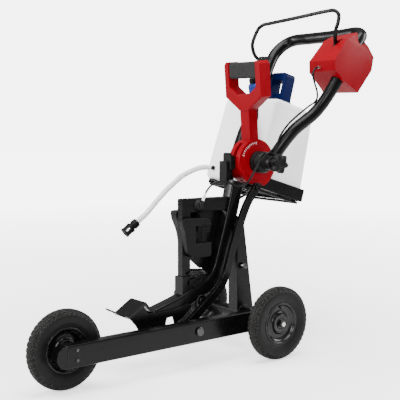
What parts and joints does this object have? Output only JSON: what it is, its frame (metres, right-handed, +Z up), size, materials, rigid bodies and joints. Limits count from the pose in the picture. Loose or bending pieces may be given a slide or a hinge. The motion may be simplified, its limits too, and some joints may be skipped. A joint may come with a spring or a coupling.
{
  "type": "saw cart",
  "caption": "Wheeled guide cart for a hand-held cut-off saw, with tilting column, saw cradle, depth lever, folding handlebar with throttle bail, and water tank.",
  "frame": {"origin": "middle of the footprint of everything but the hose, on the ground", "axes": "+Z up, +Y to the rear where the user walks, +X to the machine's left"},
  "size_m": [0.5886, 1.373, 1.2186],
  "materials": {
    "tyre_rubber": "matt knobbly rubber",
    "rim_paint": "satin black paint",
    "black_paint": "semi-gloss black powder coat",
    "zinc_steel": "bright zinc plate",
    "black_plastic": "moulded black, lightly grained",
    "cable_rubber": "matt black sheath",
    "red_plastic": "moulded red, slightly glossy",
    "grip_rubber": "ribbed dark grey rubber",
    "blue_plastic": "moulded blue, slightly glossy",
    "light_blue_plastic": "moulded light blue",
    "tank_plastic": "translucent natural polyethylene",
    "clear_hose": "clear flexible tube"
  },
  "bodies": {
    "chassis": {"base_beam": "black_paint", "beam_nose": "black_paint", "nose_screw_upper": "zinc_steel", "nose_screw_lower": "zinc_steel", "front_axle": "zinc_steel", "front_axle_nut": "zinc_steel", "cross_tube": "black_paint", "rear_axle": "zinc_steel", "rear_axle_nut_left": "zinc_steel", "rear_axle_nut_right": "zinc_steel", "strut_pivot_shaft": "zinc_steel"},
    "front_wheel": {"front_wheel_tyre": "tyre_rubber", "front_wheel_rim": "rim_paint", "front_wheel_bearing": "zinc_steel"},
    "rear_left_wheel": {"rear_left_wheel_tyre": "tyre_rubber", "rear_left_wheel_rim": "rim_paint", "rear_left_wheel_bearing": "zinc_steel"},
    "rear_right_wheel": {"rear_right_wheel_tyre": "tyre_rubber", "rear_right_wheel_rim": "rim_paint", "rear_right_wheel_bearing": "zinc_steel"},
    "strut": {"depth_strut": "black_paint"},
    "frame": {"main_column": "black_paint", "rear_tower": "black_paint", "foot_plate": "black_paint", "foot_side_plate": "black_paint", "cradle_post": "black_paint", "cradle_arm": "black_paint", "cable_boot": "cable_rubber", "cradle_cheek_left": "black_plastic", "cradle_cheek_right": "black_plastic", "cradle_gusset": "black_paint", "cradle_hoop": "black_paint", "post_bracket": "black_paint", "hub_bracket": "black_plastic", "hub_spindle": "zinc_steel", "cable_lower": "cable_rubber", "tank_tray": "black_paint", "tank_rack": "black_paint", "water_tank": "tank_plastic", "tank_nipple": "black_plastic", "carry_handle": "blue_plastic", "water_hose": "clear_hose", "hose_connector": "black_plastic"},
    "lock_pin": {"lock_pin": "zinc_steel"},
    "throttle_finger": {"throttle_finger": "black_plastic"},
    "post_latch": {"post_latch": "black_paint"},
    "filler_cap": {"filler_cap": "light_blue_plastic"},
    "lever": {"depth_lever": "red_plastic", "lever_grip": "grip_rubber", "lever_crank": "black_paint"},
    "handlebar": {"handlebar_boss_left": "black_plastic", "handlebar_boss_right": "black_plastic", "handlebar": "black_paint", "control_box_outer": "red_plastic", "control_box_inner": "red_plastic", "bail_bracket": "black_paint", "cable_upper": "cable_rubber", "cable_middle": "cable_rubber"},
    "clamp_knob": {"clamp_knob": "black_plastic"},
    "throttle_bail": {"throttle_bail": "black_paint"}
  },
  "joints": [
    {"name": "front_wheel_spin", "type": "hinge", "parent": "chassis", "child": "front_wheel", "pos_m": [0.10325, -0.5595, 0.127], "axis": [1, 0, 0], "continuous": true},
    {"name": "rear_left_wheel_spin", "type": "hinge", "parent": "chassis", "child": "rear_left_wheel", "pos_m": [0.26325, 0.1905, 0.127], "axis": [1, 0, 0], "continuous": true},
    {"name": "rear_right_wheel_spin", "type": "hinge", "parent": "chassis", "child": "rear_right_wheel", "pos_m": [-0.16875, 0.1905, 0.127], "axis": [1, 0, 0], "continuous": true},
    {"name": "frame_tilt", "type": "hinge", "parent": "chassis", "child": "frame", "pos_m": [0.04725, 0.1905, 0.127], "axis": [1, 0, 0], "range_deg": [0, 6]},
    {"name": "strut_swing", "type": "hinge", "parent": "chassis", "child": "strut", "pos_m": [0.09825, -0.0865, 0.123], "axis": [1, 0, 0], "range_deg": [0, 1.2]},
    {"name": "lever_swing", "type": "hinge", "parent": "frame", "child": "lever", "pos_m": [0.04725, 0.2555, 0.672], "axis": [1, 0, 0], "range_deg": [0, 24]},
    {"name": "handlebar_tilt", "type": "hinge", "parent": "frame", "child": "handlebar", "pos_m": [0.04725, 0.2555, 0.672], "axis": [1, 0, 0], "range_deg": [0, 60]},
    {"name": "knob_turn", "type": "hinge", "parent": "handlebar", "child": "clamp_knob", "pos_m": [0.19225, 0.2555, 0.672], "axis": [1, 0, 0], "range_deg": [0, 360]},
    {"name": "bail_squeeze", "type": "hinge", "parent": "handlebar", "child": "throttle_bail", "pos_m": [0.04725, 0.4855, 1.05], "axis": [-1, 0, 0], "range_deg": [0, 28], "stiffness_Nm_per_rad": 4, "springref_deg": -11.46},
    {"name": "throttle_pull", "type": "hinge", "parent": "frame", "child": "throttle_finger", "pos_m": [0.04725, 0.0125, 0.494], "axis": [-1, 0, 0], "range_deg": [0, 20]},
    {"name": "cap_turn", "type": "hinge", "parent": "frame", "child": "filler_cap", "pos_m": [-0.21475, 0.5385, 0.87], "axis": [0, -0.1736, 0.9848], "range_deg": [0, 360]},
    {"name": "latch_swing", "type": "hinge", "parent": "frame", "child": "post_latch", "pos_m": [0.07225, -0.0395, 0.266], "axis": [1, 0, 0], "range_deg": [-12, 0]},
    {"name": "lock_pin_pull", "type": "slide", "parent": "frame", "child": "lock_pin", "axis": [1, 0, 0], "range_m": [0, 0.01]}
  ],
  "couplings": [
    {"joint": "lever_swing", "follows": "frame_tilt", "ratio": 4},
    {"joint": "strut_swing", "follows": "frame_tilt", "ratio": 0.175},
    {"joint": "throttle_pull", "follows": "bail_squeeze", "ratio": 0.714}
  ]
}
